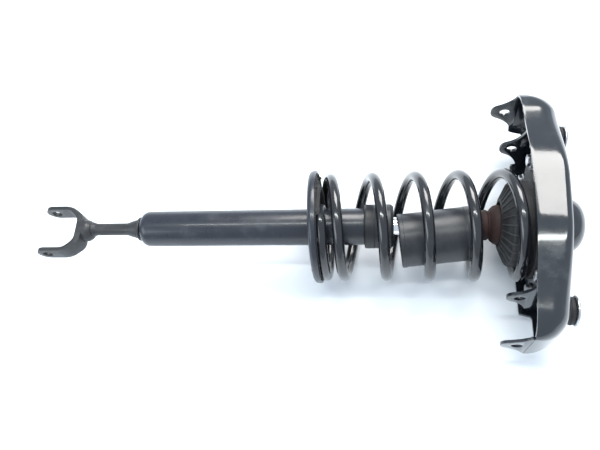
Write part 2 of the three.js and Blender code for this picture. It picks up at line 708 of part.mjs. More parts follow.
export default assembly;
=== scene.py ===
"""Suspension strut: the detailed visual model, its materials, the studio and the camera.

Shapes are written in millimetres in the strut's own axes: station along the damper from the fork's bolt
centre, y along the bracket, z across it, both from the damper's axis. in_frame() turns them into the
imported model's frame in metres.
"""
import json
import math

import bmesh
import bpy
from mathutils import Matrix, Vector


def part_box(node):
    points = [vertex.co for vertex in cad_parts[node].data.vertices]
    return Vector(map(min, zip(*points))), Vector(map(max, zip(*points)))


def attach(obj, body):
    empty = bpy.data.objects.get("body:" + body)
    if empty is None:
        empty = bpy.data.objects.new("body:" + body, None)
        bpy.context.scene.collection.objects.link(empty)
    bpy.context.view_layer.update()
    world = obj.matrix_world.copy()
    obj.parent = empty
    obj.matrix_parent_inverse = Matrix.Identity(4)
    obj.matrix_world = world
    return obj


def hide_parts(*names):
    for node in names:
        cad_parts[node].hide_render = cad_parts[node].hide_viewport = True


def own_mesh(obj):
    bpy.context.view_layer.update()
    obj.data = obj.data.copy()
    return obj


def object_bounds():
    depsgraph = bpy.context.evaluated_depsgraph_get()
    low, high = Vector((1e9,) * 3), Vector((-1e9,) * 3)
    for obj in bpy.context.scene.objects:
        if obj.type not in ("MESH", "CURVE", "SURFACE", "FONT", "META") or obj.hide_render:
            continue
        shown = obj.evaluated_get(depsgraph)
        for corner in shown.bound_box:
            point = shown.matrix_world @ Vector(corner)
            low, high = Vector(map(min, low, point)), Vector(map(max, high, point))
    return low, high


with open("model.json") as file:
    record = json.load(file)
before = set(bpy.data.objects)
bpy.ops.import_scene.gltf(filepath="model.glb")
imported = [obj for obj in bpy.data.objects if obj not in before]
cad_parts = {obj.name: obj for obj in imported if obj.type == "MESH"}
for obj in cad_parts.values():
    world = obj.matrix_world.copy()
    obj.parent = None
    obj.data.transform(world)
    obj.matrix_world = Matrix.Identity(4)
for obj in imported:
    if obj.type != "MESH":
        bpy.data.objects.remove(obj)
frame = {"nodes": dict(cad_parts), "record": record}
cad_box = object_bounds()

MM = 0.001
TUBE_START = 127.0  # station of the damper tube's lower end
tube_low, tube_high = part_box("damper_tube")
ORIGIN = Vector((tube_low[0] - TUBE_START * MM,
                 (tube_low[1] + tube_high[1]) / 2,
                 (tube_low[2] + tube_high[2]) / 2))
FLOOR = cad_box[0][2]

MOUNT_STATION = 611.5
SEAT_STATION = 354.0
MOUNT_TILT = math.radians(2.5)
SEAT_TILT = math.radians(2.4)
MOUNT = Matrix.Translation((MOUNT_STATION, 0, 0)) @ Matrix.Rotation(-MOUNT_TILT, 4, "Z")
BRACKET_SHIFT = 8.0  # the bracket sits off the damper's axis, along its long side
BRACKET = MOUNT @ Matrix.Translation((0, BRACKET_SHIFT, 0))
SEAT = Matrix.Translation((SEAT_STATION, 0, 0)) @ Matrix.Rotation(SEAT_TILT, 4, "Z")
TOP, DAMPER, SLEEVE = "top_mount", "damper", "dust_sleeve"


# ---------------------------------------------------------------- shapes

def in_frame(points, place=Matrix()):
    moved = (place @ Vector(p) for p in points)
    return [tuple(ORIGIN[i] + p[i] * MM for i in range(3)) for p in moved]


def filleted(points, radius, steps=3, closed=True):
    """A 2-D outline with its corners rounded. radius is one number, or one for each corner."""
    count = len(points)
    result = []
    for i, corner in enumerate(points):
        size = radius[i] if isinstance(radius, (list, tuple)) else radius
        if size <= 0 or (not closed and i in (0, count - 1)):
            result.append(tuple(corner))
            continue
        corner = Vector(corner)
        arms = [Vector(points[i - 1]) - corner, Vector(points[(i + 1) % count]) - corner]
        ends = [corner + arm.normalized() * min(size, arm.length * 0.45) for arm in arms]
        for k in range(steps + 1):
            t = k / steps
            result.append(tuple((1 - t) ** 2 * ends[0] + 2 * t * (1 - t) * corner + t * t * ends[1]))
    return result


def arc(centre, radius, start, end, steps):
    """Points on an arc, angles in degrees."""
    angles = [math.radians(start + (end - start) * i / steps) for i in range(steps + 1)]
    return [(centre[0] + radius * math.cos(a), centre[1] + radius * math.sin(a)) for a in angles]


def circle(centre, radius, count):
    """A closed outline of count points, the first at angle 0."""
    return arc(centre, radius, 0, 360 * (count - 1) / count, count - 1)


def lathe(outline, sides=72, shift=(0, 0)):
    """A closed [station, radius] outline turned about X. Points on the axis become poles."""
    verts, rings, faces = [], [], []
    for x, radius in outline:
        if radius < 1e-6:
            rings.append([len(verts)])
            verts.append((x, shift[0], shift[1]))
            continue
        rings.append(list(range(len(verts), len(verts) + sides)))
        for i in range(sides):
            a = math.tau * i / sides
            verts.append((x, shift[0] + radius * math.cos(a), shift[1] + radius * math.sin(a)))
    for a, b in zip(rings, rings[1:] + rings[:1]):
        for i in range(sides):
            j = (i + 1) % sides
            quad = [a[i % len(a)], a[j % len(a)], b[j % len(b)], b[i % len(b)]]
            corners = list(dict.fromkeys(quad))
            if len(corners) > 2:
                faces.append(corners)
    return verts, faces


def prism(outline, low, high, axis):
    """A 2-D outline pushed from low to high along axis; its points are the other two axes in order."""
    order = {"X": (1, 2, 0), "Y": (0, 2, 1), "Z": (0, 1, 2)}[axis]
    verts = []
    for level in (low, high):
        for a, b in outline:
            point = [0, 0, 0]
            point[order[0]], point[order[1]], point[order[2]] = a, b, level
            verts.append(tuple(point))
    count = len(outline)
    faces = [list(range(count))[::-1], list(range(count, 2 * count))]
    faces += [[i, (i + 1) % count, (i + 1) % count + count, i + count] for i in range(count)]
    return verts, faces


def body(name, verts, faces, place=Matrix()):
    """A mesh object in the model's frame, with its normals outwards."""
    mesh = bpy.data.meshes.new(name)
    mesh.from_pydata(in_frame(verts, place), [], faces)
    mesh.validate()
    edit = bmesh.new()
    edit.from_mesh(mesh)
    bmesh.ops.recalc_face_normals(edit, faces=edit.faces)
    edit.to_mesh(mesh)
    edit.free()
    obj = bpy.data.objects.new(name, mesh)
    bpy.context.scene.collection.objects.link(obj)
    return obj


def applied(obj):
    """The object with its modifiers made real."""
    bpy.context.view_layer.update()
    graph = bpy.context.evaluated_depsgraph_get()
    mesh = bpy.data.meshes.new_from_object(obj.evaluated_get(graph))
    obj.modifiers.clear()
    obj.data = mesh
    return obj


def combined(obj, operation, *tools):
    """obj with each tool cut out, joined on or kept in common. The tools go away."""
    for tool in tools:
        step = obj.modifiers.new("step", "BOOLEAN")
        step.operation = operation
        step.solver = "EXACT"
        step.object = tool
        applied(obj)
        bpy.data.objects.remove(tool)
    return obj


def bevelled(obj, width, segments=3, limit=35):
    edge = obj.modifiers.new("edge", "BEVEL")
    edge.width = width * MM
    edge.segments = segments
    edge.limit_method = "ANGLE"
    edge.angle_limit = math.radians(limit)
    edge.use_clamp_overlap = True
    return applied(obj)


def finished(obj, look, rides, stands_for=(), sharp=38):
    """Smooth shading with sharp edges kept, a material, and its place in the frame's bodies."""
    edit = bmesh.new()
    edit.from_mesh(obj.data)
    for face in edit.faces:
        face.smooth = True
        face.material_index = 0
    limit = math.radians(sharp)
    for edge in edit.edges:
        edge.smooth = len(edge.link_faces) == 2 and edge.calc_face_angle(0) < limit
    edit.to_mesh(obj.data)
    edit.free()
    obj.data.materials.clear()
    obj.data.materials.append(look)
    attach(obj, rides)
    if stands_for:
        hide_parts(*stands_for)
    return obj


def turned(name, outline, look, rides, stands_for=(), place=Matrix(), sides=72,
           fillet=0.6, shift=(0, 0)):
    """A lathed piece. Corners on the axis stay sharp."""
    radii = [0 if r < 1e-6 else fillet for _, r in outline]
    shape = body(name, *lathe(filleted(outline, radii), sides, shift), place)
    return finished(shape, look, rides, stands_for)


# ---------------------------------------------------------------- materials

def nodes_of(name):
    look = bpy.data.materials.new(name)
    look.use_nodes = True
    tree = look.node_tree
    shader = tree.nodes["Principled BSDF"]
    place = tree.nodes.new("ShaderNodeTexCoord")
    return look, tree, shader, place.outputs["Object"]


def noise(tree, vector, scale, detail=4.0, roughness=0.55, stretch=(1, 1, 1)):
    mapping = tree.nodes.new("ShaderNodeMapping")
    mapping.inputs["Scale"].default_value = stretch
    tree.links.new(vector, mapping.inputs["Vector"])
    texture = tree.nodes.new("ShaderNodeTexNoise")
    texture.inputs["Scale"].default_value = scale
    texture.inputs["Detail"].default_value = detail
    texture.inputs["Roughness"].default_value = roughness
    tree.links.new(mapping.outputs["Vector"], texture.inputs["Vector"])
    return texture.outputs["Fac"]


def spread(tree, value, low, high, to_low, to_high):
    remap = tree.nodes.new("ShaderNodeMapRange")
    for key, number in (("From Min", low), ("From Max", high), ("To Min", to_low), ("To Max", to_high)):
        remap.inputs[key].default_value = number
    tree.links.new(value, remap.inputs["Value"])
    return remap.outputs["Result"]


def mixed(tree, share, first, second):
    mix = tree.nodes.new("ShaderNodeMix")
    mix.data_type = "RGBA"
    mix.inputs["A"].default_value = (*first, 1)
    mix.inputs["B"].default_value = (*second, 1)
    tree.links.new(share, mix.inputs["Factor"])
    return mix.outputs["Result"]


def bump(tree, height, strength, distance, shader):
    node = tree.nodes.new("ShaderNodeBump")
    node.inputs["Strength"].default_value = strength
    node.inputs["Distance"].default_value = distance
    tree.links.new(height, node.inputs["Height"])
    tree.links.new(node.outputs["Normal"], shader.inputs["Normal"])
    return node


def paint(name, colour, dusty, rough, coat=0.0, peel=0.15, dust=(0.56, 0.72), grain=260):
    """Sprayed or powder paint: orange peel, slight cloudiness and a little dust."""
    look, tree, shader, place = nodes_of(name)
    clouds = noise(tree, place, 34, 5, 0.6)
    specks = noise(tree, place, 900, 3, 0.7)
    share = spread(tree, clouds, dust[0], dust[1], 0, 0.35)
    speckle = spread(tree, specks, 0.66, 0.74, 0, 0.5)
    both = tree.nodes.new("ShaderNodeMath")
    both.operation = "MAXIMUM"
    tree.links.new(share, both.inputs[0])
    tree.links.new(speckle, both.inputs[1])
    tree.links.new(mixed(tree, both.outputs[0], colour, dusty), shader.inputs["Base Color"])
    tree.links.new(spread(tree, clouds, 0.35, 0.7, rough * 0.8, rough * 1.45), shader.inputs["Roughness"])
    shader.inputs["Coat Weight"].default_value = coat
    shader.inputs["Coat Roughness"].default_value = 0.06
    bump(tree, noise(tree, place, grain, 2, 0.5), peel, 0.0006, shader)
    return look


def moulded(name, colour, lighter, rough, pores, strength, specular=0.5):
    """Rubber, plastic or foam: mottled colour and a fine surface grain."""
    look, tree, shader, place = nodes_of(name)
    patches = noise(tree, place, 45, 5, 0.65)
    grain = noise(tree, place, pores, 3, 0.6)
    tree.links.new(mixed(tree, spread(tree, patches, 0.4, 0.68, 0, 1), colour, lighter),
                   shader.inputs["Base Color"])
    tree.links.new(spread(tree, patches, 0.3, 0.7, rough * 0.85, min(1, rough * 1.2)),
                   shader.inputs["Roughness"])
    shader.inputs["Specular IOR Level"].default_value = specular
    bump(tree, grain, strength, 0.0005, shader)
    return look


def metal(name, colour, darker, rough, stretch=(1, 1, 1), scale=120, strength=0.08):
    """Bare or plated metal: drawn or turned grain and slight tarnish."""
    look, tree, shader, place = nodes_of(name)
    shader.inputs["Metallic"].default_value = 1.0
    tarnish = noise(tree, place, 60, 4, 0.6)
    grain = noise(tree, place, scale, 3, 0.6, stretch)
    tree.links.new(mixed(tree, spread(tree, tarnish, 0.42, 0.7, 0, 1), colour, darker),
                   shader.inputs["Base Color"])
    tree.links.new(spread(tree, grain, 0.3, 0.7, rough * 0.7, min(1, rough * 1.4)),
                   shader.inputs["Roughness"])
    bump(tree, grain, strength, 0.0003, shader)
    return look


GLOSS_PAINT = paint("bracket_paint", (0.011, 0.014, 0.019), (0.07, 0.08, 0.09), 0.13, coat=0.6, peel=0.06)
SPRING_PAINT = paint("spring_paint", (0.008, 0.009, 0.012), (0.045, 0.05, 0.06), 0.17, coat=0.5, peel=0.10)
TUBE_PAINT = paint("tube_paint", (0.014, 0.017, 0.026), (0.06, 0.065, 0.08), 0.30, coat=0.15, peel=0.12)
FORK_PAINT = paint("fork_paint", (0.020, 0.021, 0.024), (0.08, 0.08, 0.085), 0.42, peel=0.35, grain=420)
PLASTIC = moulded("black_plastic", (0.014, 0.016, 0.021), (0.03, 0.032, 0.038), 0.36, 1400, 0.08)
RUBBER = moulded("rubber", (0.016, 0.016, 0.018), (0.045, 0.045, 0.047), 0.62, 900, 0.2, 0.35)
CAP_PLASTIC = moulded("cap_plastic", (0.011, 0.012, 0.016), (0.022, 0.024, 0.028), 0.45, 1200, 0.08)
URETHANE = moulded("urethane", (0.020, 0.009, 0.008), (0.042, 0.018, 0.014), 0.70, 700, 0.45, 0.3)
ZINC = metal("zinc_plate", (0.62, 0.63, 0.65), (0.40, 0.40, 0.41), 0.34)
CHROME = metal("hard_chrome", (0.80, 0.81, 0.83), (0.70, 0.71, 0.73), 0.09, (0.3, 1, 1), 300, 0.02)
STEEL = metal("bare_steel", (0.45, 0.45, 0.46), (0.30, 0.29, 0.28), 0.42)
SINTERED = metal("sintered_iron", (0.22, 0.21, 0.20), (0.13, 0.12, 0.11), 0.6, scale=600, strength=0.3)
BAND = moulded("band_plastic", (0.22, 0.14, 0.07), (0.27, 0.18, 0.10), 0.5, 800, 0.1)
# A lighter copy of the rubber for the insulator's fins: a painted highlight for the light the fins catch.
FIN_HIGHLIGHT_RUBBER = moulded("fin_highlight_rubber", (0.030, 0.031, 0.034), (0.060, 0.060, 0.063), 0.58, 900, 0.15, 0.4)
# Light bare-metal colour for the seat's rim ribs: partly scratched-through paint, partly a painted highlight
# along the rim.
RIB_SCRATCH_AND_HIGHLIGHT_METAL = metal("rib_scratch_and_highlight", (0.42, 0.44, 0.46), (0.16, 0.17, 0.19), 0.45, scale=500)


# ---------------------------------------------------------------- fork and stem

FORK_Y = -3.0
FORK_GAP = 54.0
FORK_PLATE = 5.0
FORK_WEB = 38.0  # station of the inside of the fork's web
FORK_TIP = -16.0
FORK_WIDTH = 27.0
FORK_HOLE = 6.5  # radius


def make_fork():
    half = FORK_GAP / 2
    bend = FORK_WEB - 12
    inner = [(FORK_TIP, half), (bend, half), (FORK_WEB, half - 12),
             (FORK_WEB, -half + 12), (bend, -half), (FORK_TIP, -half)]
    outer = [(FORK_TIP, -half - FORK_PLATE), (bend + 2, -half - FORK_PLATE), (FORK_WEB + 8, -half + 8),
             (FORK_WEB + 8, half - 8), (bend + 2, half + FORK_PLATE), (FORK_TIP, half + FORK_PLATE)]
    radii = [0, 7, 6, 6, 7, 0, 0, 11, 7, 7, 11, 0]
    strap = body("fork", *prism(filleted(inner + outer, radii, 6), -18, 18, "Z"))
    width = FORK_WIDTH / 2
    sides = arc((0, 0), width, 90, 270, 24)
    sides += [(28, -width), (FORK_WEB + 2, -width + 1), (FORK_WEB + 12, -width + 1)]
    sides += [(FORK_WEB + 12, width - 1), (FORK_WEB + 2, width - 1), (28, width)]
    plan = body("plan", *prism(sides, -45, 45, "Y"))
    combined(strap, "INTERSECT", plan)
    hole = body("hole", *prism(circle((0, 0), FORK_HOLE, 48), -60, 60, "Y"))
    combined(strap, "DIFFERENCE", hole)
    for vertex in strap.data.vertices:
        vertex.co.y += FORK_Y * MM
    bevelled(strap, 1.1, 3, 40)
    finished(strap, FORK_PAINT, DAMPER, ["fork_yoke"])
    boss = [(41, 0), (41, 15.2), (46.5, 14.6), (52, 14.3), (54.5, 13), (57.6, 10.8), (57.6, 0)]
    turned("fork_boss", boss, FORK_PAINT, DAMPER, shift=(-1.5, 0), fillet=1.2)


def make_stem():
    stem = [(56, 0), (56, 10.4), (60, 9.2), (63, 8), (84, 7.9), (106, 8.1), (113, 10.4), (120, 12.4),
            (126.7, 13), (126.7, 0)]
    turned("stem", stem, FORK_PAINT, DAMPER, ["fork_stem"], fillet=2.0, sides=48)
    weld_bead("stem_weld", 124.9, 14.0, 2.0, FORK_PAINT, ["stem_weld_collar"])


def weld_bead(name, station, radius, size, look, stands_for):
    """A round weld: a small torus whose ripples overlap like laid coins."""
    around, across = 144, 10
    verts, faces = [], []
    for i in range(around):
        a = math.tau * i / around
        ripple = 1 + 0.10 * math.sin(a * 36) + 0.06 * math.sin(a * 5 + 1)
        for j in range(across):
            b = math.tau * j / across
            r = radius + size * 0.8 * ripple * math.cos(b)
            verts.append((station + size * ripple * math.sin(b), r * math.cos(a), r * math.sin(a)))
    for i in range(around):
        for j in range(across):
            ring, step = (i + 1) % around, (j + 1) % across
            faces.append([i * across + j, ring * across + j, ring * across + step, i * across + step])
    return finished(body(name, verts, faces), look, DAMPER, stands_for, 60)


# ---------------------------------------------------------------- damper

def make_damper():
    tube = [(127, 0), *arc((139, 11), 12, 180, 90, 8), (449, 23), (449, 21), (141, 21), (132, 13),
            (130, 0)]
    radii = [0] * 10 + [0.5, 0.5, 0, 0, 0]
    shape = body("tube", *lathe(filleted(tube, radii), 96))
    finished(shape, TUBE_PAINT, DAMPER, ["damper_tube"])
    cap = [(419, 23.3), (419, 26.9), (421.5, 27.5), (431, 27.5), (431.6, 27.1), (433, 27.1), (433.6, 27.5),
           (451, 27.5), (454.5, 24.5), (454.5, 13.5), (449.3, 13.5), (449.3, 23.3)]
    shape = body("cap", *lathe(filleted(cap, 0.7), 96))
    notch = body("notch", *prism([(446, 24.6), (451.6, 24.6), (451.6, 31), (446, 31)], -4.5, 4.5, "Z"))
    turn = Matrix.Rotation(math.radians(14), 4, "X")
    notch.data.transform(Matrix.Translation(ORIGIN) @ turn @ Matrix.Translation(-ORIGIN))
    combined(shape, "DIFFERENCE", notch)
    finished(shape, CAP_PLASTIC, DAMPER, ["tube_cap"])


# ---------------------------------------------------------------- lower spring seat

SEAT_RADIUS = 71.0


def make_seat():
    pan = [(0, 24.6), (0, 62), (1.2, 66), *arc((5.2, 65.6), 5.4, 200, 95, 6), (9, 71),
           (9, 68), (6.2, 67.6), (4.2, 66), (3, 64), (3, 36), (7, 31), (10, 29.2), (16, 27.2), (16, 24.6)]
    shape = body("seat", *lathe(filleted(pan, 0.5, 2), 120), SEAT)
    for i in range(3):
        a = math.tau * i / 3 + 0.4
        ring = circle((39 * math.cos(a), 39 * math.sin(a)), 4, 24)
        combined(shape, "DIFFERENCE", body("drain", *prism(ring, -10, 10, "X"), SEAT))
    finished(shape, TUBE_PAINT, DAMPER, ["lower_spring_seat"])
    for i in range(3):
        make_seat_rib(i)
    weld_bead("seat_weld", SEAT_STATION - 2.6, 24.4, 1.7, TUBE_PAINT, ["seat_weld_bead"])


def make_seat_rib(number):
    """A short pressed rib across the pan's rim, at the side that carries the wire's end."""
    angle = math.radians(-128 + 7.5 * number)
    path = [(3.2, 69.4), (5.4, 70.7), (8.2, 70.9)]
    verts, faces = [], []
    for x, r in path:
        for side, lift in ((-1.1, 0), (-0.5, 0.6), (0.5, 0.6), (1.1, 0)):
            a = angle + side / r + (x - 5) * 0.006
            rr = min(r + lift, SEAT_RADIUS)
            verts.append((x, rr * math.cos(a), rr * math.sin(a)))
    for k in range(len(path) - 1):
        for j in range(3):
            faces.append([k * 4 + j, k * 4 + j + 1, k * 4 + j + 5, k * 4 + j + 4])
    shape = body(f"seat_rib_{number + 1}", verts, faces, SEAT)
    # the ribs' light metal colour is partly scratched paint and partly a painted highlight on the pan's rim
    finished(shape, RIB_SCRATCH_AND_HIGHLIGHT_METAL, DAMPER, sharp=80)


def make_pad():
    pad = [(3.3, 46), (3.3, 63.5), (6.3, 66.6), (10.2, 67.4), (10.2, 66), (8.4, 63.6), (8.1, 60), (8.1, 55),
           (9.4, 52.4), (13.4, 51.4), (13.4, 47.4)]
    shape = body("pad", *lathe(filleted(pad, 0.9, 3), 120), SEAT)
    finished(shape, RUBBER, DAMPER, ["lower_spring_pad"])
    for i in range(12):
        a = math.tau * i / 12 + 0.13
        tab = [(8.0, 62.4), (8.0, 66.2), (11.6, 66.9), (12.4, 66.0), (9.6, 62.8)]
        verts, faces = prism(filleted(tab, 0.5, 2), -2.2, 2.2, "Z")
        turn = SEAT @ Matrix.Rotation(a, 4, "X")
        shape = bevelled(body(f"pad_tab_{i + 1}", verts, faces, turn), 0.4, 2)
        finished(shape, RUBBER, DAMPER)


# ---------------------------------------------------------------- coil spring

WIRE = 6.6  # radius
COIL_RADIUS, COIL_WIDENING, PIGTAIL = 61.0, 1.5, 2.5
PIGTAIL_START = 4.55  # turns; the last of the wire closes in a little
COIL_START, COIL_END = -0.72, 4.98  # turns, from the first free crest
COIL_FIRST, COIL_PITCH = 368.3, 52.0
LEAN_Y, LEAN_Z = 0.025, 0.1
BLEND = 3.0
LOWER_REST = SEAT_STATION + 15.2  # stations of the wire's middle where it rests on its seats
UPPER_REST = MOUNT_STATION - 5.2


def smooth(value, low, high):
    t = min(1, max(0, (value - low) / (high - low)))
    return t * t * (3 - 2 * t)


def soft_excess(value):
    """value where it is above 0 and 0 where it is below, blended smoothly."""
    return BLEND * math.log(1 + math.exp(value / BLEND))


def coil_point(turns):
    """The wire's middle, after so many turns: free in between, and laid on a seat at each end."""
    angle = turns * math.tau
    share = max(0, turns) / COIL_END
    radius = COIL_RADIUS + COIL_WIDENING * share - PIGTAIL * smooth(turns, PIGTAIL_START, COIL_END)
    y, z = radius * math.cos(angle), radius * math.sin(angle)
    free = COIL_FIRST + COIL_PITCH * turns + LEAN_Y * y + LEAN_Z * z
    lower = LOWER_REST - math.tan(SEAT_TILT) * y
    upper = UPPER_REST + math.tan(MOUNT_TILT) * y
    lifted = lower + soft_excess(free - lower)
    return Vector((upper - soft_excess(upper - lifted), y, z))


def make_spring():
    around = 28
    steps = round((COIL_END - COIL_START) * 72)
    stations = [COIL_START + (COIL_END - COIL_START) * i / steps for i in range(steps + 1)]
    verts, faces = [], []
    for i, turns in enumerate(stations):
        middle = coil_point(turns)
        along = (coil_point(turns + 1e-4) - coil_point(turns - 1e-4)).normalized()
        outwards = Vector((0, middle.y, middle.z))
        outwards = (outwards - along * outwards.dot(along)).normalized()
        across = along.cross(outwards)
        edge = min(i, steps - i)
        size = WIRE * (0.86, 0.96, 1.0)[min(edge, 2)]
        for j in range(around):
            b = math.tau * j / around
            verts.append(tuple(middle + size * (math.cos(b) * outwards + math.sin(b) * across)))
    for i in range(steps):
        for j in range(around):
            step = (j + 1) % around
            faces.append([i * around + j, (i + 1) * around + j, (i + 1) * around + step, i * around + step])
    faces.append(list(range(around)))
    faces.append([steps * around + j for j in reversed(range(around))])
    spring = finished(body("spring", verts, faces), SPRING_PAINT, DAMPER, ["coil_spring"], 50)
    foot = LOWER_REST - WIRE
    anchor = in_frame([(foot, 0, 0)])[0]
    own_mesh(spring)


# ---------------------------------------------------------------- rod, bump stop, dust tube

def make_rod_parts():
    top = MOUNT_STATION + 58
    rod = [(287, 0), (287, 6), (318, 6), (318, 11), (617.5, 11), (619.5, 7), (top - 1, 7), (top, 6),
           (top, 0)]
    turned("rod", rod, CHROME, TOP, ["piston_rod"], sides=64, fillet=0.4)
    stop = [(558, 11.3), (558, 15.6), (559.5, 17.6), (562, 18.4), (565.6, 18.6), (567, 17.0), (568.2, 17.0),
            (570, 20.0), (573.6, 23.2), (577, 24.4), (580.4, 24.6), (582, 23.0), (583.2, 23.0), (585, 24.6),
            (588.5, 24.8), (590, 23.4), (591.2, 23.4), (592.8, 24.7), (596, 24.8), (596, 11.3)]
    turned("bump_stop", stop, URETHANE, TOP, ["bump_stop"], sides=96, fillet=1.0)
    cup = [(588, 25.1), (588, 26.2), (590, 26.4), (598.3, 26.4), (598.3, 11.3), (596.3, 11.3), (596.3, 25.1)]
    turned("bump_cup", cup, STEEL, TOP, ["bump_stop_cup"], sides=96, fillet=0.5)


DUST_PIVOT = 636.0
DUST_REACH = 175.2
DUST_LENGTH = 86.0
DUST_SIDE, DUST_LEAN = math.radians(24), math.radians(6.1)  # which way it hangs, and how far


def make_dust_tube():
    place = (Matrix.Translation((DUST_PIVOT, 0, 0)) @ Matrix.Rotation(DUST_SIDE, 4, "X")
             @ Matrix.Rotation(DUST_LEAN, 4, "Z"))
    low, high = -DUST_REACH, -DUST_REACH + DUST_LENGTH
    sleeve = [(low, 31.9), (low, 33.1), (low + 1.6, 33.5), (low + 5.4, 33.5), (low + 6.2, 33.15),
              (high - 7.2, 33.15), (high - 6.2, 33.5), (high, 33.5), (high, 31.5), (low + 4, 31.5)]
    shape = body("dust_sleeve", *lathe(filleted(sleeve, 0.45, 3), 128), place)
    finished(shape, PLASTIC, SLEEVE, ["dust_tube"])


# ---------------------------------------------------------------- upper seat and rubber mount

BOLT_PLACES = [(y, z) for y in (-74, 74) for z in (-26, 26)]
INSULATOR_RIBS = 28


def make_upper_seat():
    rubber = [(-32, 27.3), (-32, 28.6), (-30.6, 31), (-21, 50.4), (-19, 51.4), (-1, 52.4), (1.8, 54.5),
              (1.8, 65), (7, 65.6), (7, 33), (-8, 31), (-26, 27.3)]
    turned("insulator", rubber, RUBBER, TOP, ["upper_insulator"], MOUNT, 120, 1.0)
    for i in range(INSULATOR_RIBS):
        make_insulator_rib(i, math.tau * i / INSULATOR_RIBS)
    plate = [(86 * math.cos(math.tau * i / 96), 65.5 * math.sin(math.tau * i / 96)) for i in range(96)]
    shape = body("spring_plate", *prism(plate, 7.3, 10, "X"), MOUNT)
    bore = body("bore", *prism(circle((0, 0), 33, 60), -5, 20, "X"), MOUNT)
    holes = []
    for i, (y, z) in enumerate(BOLT_PLACES):
        ring = circle((y, z), 4.8, 24)
        holes.append(body(f"bolt_hole_{i}", *prism(ring, -5, 20, "X"), MOUNT))
    combined(shape, "DIFFERENCE", bore, *holes)
    finished(bevelled(shape, 0.6, 2), TUBE_PAINT, TOP, ["upper_spring_plate"])
    housing = [(10.3, 34), (10.3, 52), (12.3, 52), (12.3, 42), (29, 42), (29, 40), (12.3, 40), (12.3, 34)]
    turned("mount_housing", housing, TUBE_PAINT, TOP, ["mount_housing"], MOUNT, 96, 0.8)


def make_insulator_rib(number, angle):
    """A thin moulded fin up the insulator's cone."""
    path = [(-31.0, 29.6, 0.4), (-29.6, 31.8, 1.7), (-25.5, 40.0, 1.9), (-21.5, 48.4, 1.9),
            (-18.8, 51.0, 1.5), (-15.0, 51.4, 0.3)]
    verts, faces = [], []
    for x, r, lift in path:
        for side, rise in ((-1.0, -0.3), (-0.6, lift), (0.6, lift), (1.0, -0.3)):
            a = angle + side / r
            verts.append((x - rise * 0.8, (r + rise * 0.5) * math.cos(a), (r + rise * 0.5) * math.sin(a)))
    for k in range(len(path) - 1):
        for j in range(3):
            faces.append([k * 4 + j, k * 4 + j + 1, k * 4 + j + 5, k * 4 + j + 4])
    shape = body(f"insulator_rib_{number + 1}", verts, faces, MOUNT)
    # the fins get the lighter rubber copy, a painted highlight along them
    finished(shape, FIN_HIGHLIGHT_RUBBER, TOP, sharp=70)


def make_bolts():
    for i, (y, z) in enumerate(BOLT_PLACES):
        place = MOUNT @ Matrix.Translation((0, y, z))
        head = arc((0, 0), 7.5, 30, 330, 5)
        hexagon = bevelled(body(f"bolt_{i + 1}", *prism(head, 0.7, 6, "X"), place), 0.5, 2)
        flange = [(5, 0), (5, 8.2), (5.6, 9), (7, 9), (7, 4), (26, 4), (26, 0)]
        flange = filleted(flange, [0, 0.3, 0.3, 0.3, 0, 0, 0])
        combined(hexagon, "UNION", body("flange", *lathe(flange, 48), place))
        finished(hexagon, ZINC, TOP, [f"mount_bolt_{i + 1}"])
        top = web_height(y - BRACKET_SHIFT) - SHEET - 0.9
        boss = [(10.3, 4.3), (10.3, 8), (top, 8), (top, 4.3)]
        turned(f"boss_{i + 1}", boss, GLOSS_PAINT, TOP, [f"threaded_boss_{i + 1}"], place,
               48, 0.6)


# ---------------------------------------------------------------- the pressed bracket

HALF_LENGTH = 157.0
HALF_WIDTH, END_HALF_WIDTH = 70.0, 50.0
SHEET = 3.5
CORNER = 31.0  # radius of the web's turn into the end walls
BUSH_SPACING = 113.0
PIN_Y = -64.0
EAR_Y = 99.5
EAR_HOLE = 6.25  # radius
EAR_ROOT = 33.0  # half width of an outer ear where it leaves the end wall
EAR_TIP, INNER_EAR_TIP, EAR_RADIUS = -35.0, -26.0, 13.5


def web_height(y):
    return 38 + 0.02 * y - 2 * (y / BUSH_SPACING) ** 2


def wall_edge(y):
    """Height of the walls' lower edge: a shallow arch, as a cubic from end to end."""
    t = (y + HALF_LENGTH + 10) / (2 * HALF_LENGTH + 20)
    return (1 - t) ** 3 * -4.5 + 3 * (1 - t) ** 2 * t * -1.5 + t ** 3 * -7


def far_edge(y):
    """The far wall is notched between the ears at each end."""
    far = abs(y)
    notch = smooth(far, 104.5, 109) * (1 - smooth(far, 147, 151.5))
    return wall_edge(y) + (12 - wall_edge(y)) * notch


def section(y, drop, narrowing):
    """The bracket's outside at y, from the near wall's edge over the web to the far wall's edge."""
    taper = smooth(abs(y), 25, HALF_LENGTH - 15)
    height = web_height(y) - drop
    half = HALF_WIDTH + (END_HALF_WIDTH - HALF_WIDTH) * taper - narrowing
    points = []
    for side, edge in ((1, wall_edge(y)), (-1, far_edge(y))):
        size = max(1.5, min(8 + 15 * taper, (height - edge) * 0.8, half * 0.8))
        wall = [(edge + (height - size - edge) * i / 8, half) for i in range(8)]
        bend = [(height - size + size * math.sin(a), half - size + size * math.cos(a))
                for a in (math.pi / 2 * i / 10 for i in range(11))]
        web = [(height, (half - size) * (1 - i / 8)) for i in range(1, 9 if side > 0 else 8)]
        run = [(x, side * z) for x, z in wall + bend + web]
        points += run if side > 0 else run[::-1]
    return [(x, y, z) for x, z in points]


def resampled(points, count):
    """count points spread evenly along a line of points."""
    lengths = [0]
    for a, b in zip(points, points[1:]):
        lengths.append(lengths[-1] + (Vector(b) - Vector(a)).length)
    result, k = [], 0
    for i in range(count):
        target = lengths[-1] * i / (count - 1)
        while k < len(points) - 2 and lengths[k + 1] < target:
            k += 1
        span = lengths[k + 1] - lengths[k]
        t = (target - lengths[k]) / span if span else 0
        result.append(tuple(Vector(points[k]).lerp(Vector(points[k + 1]), t)))
    return result


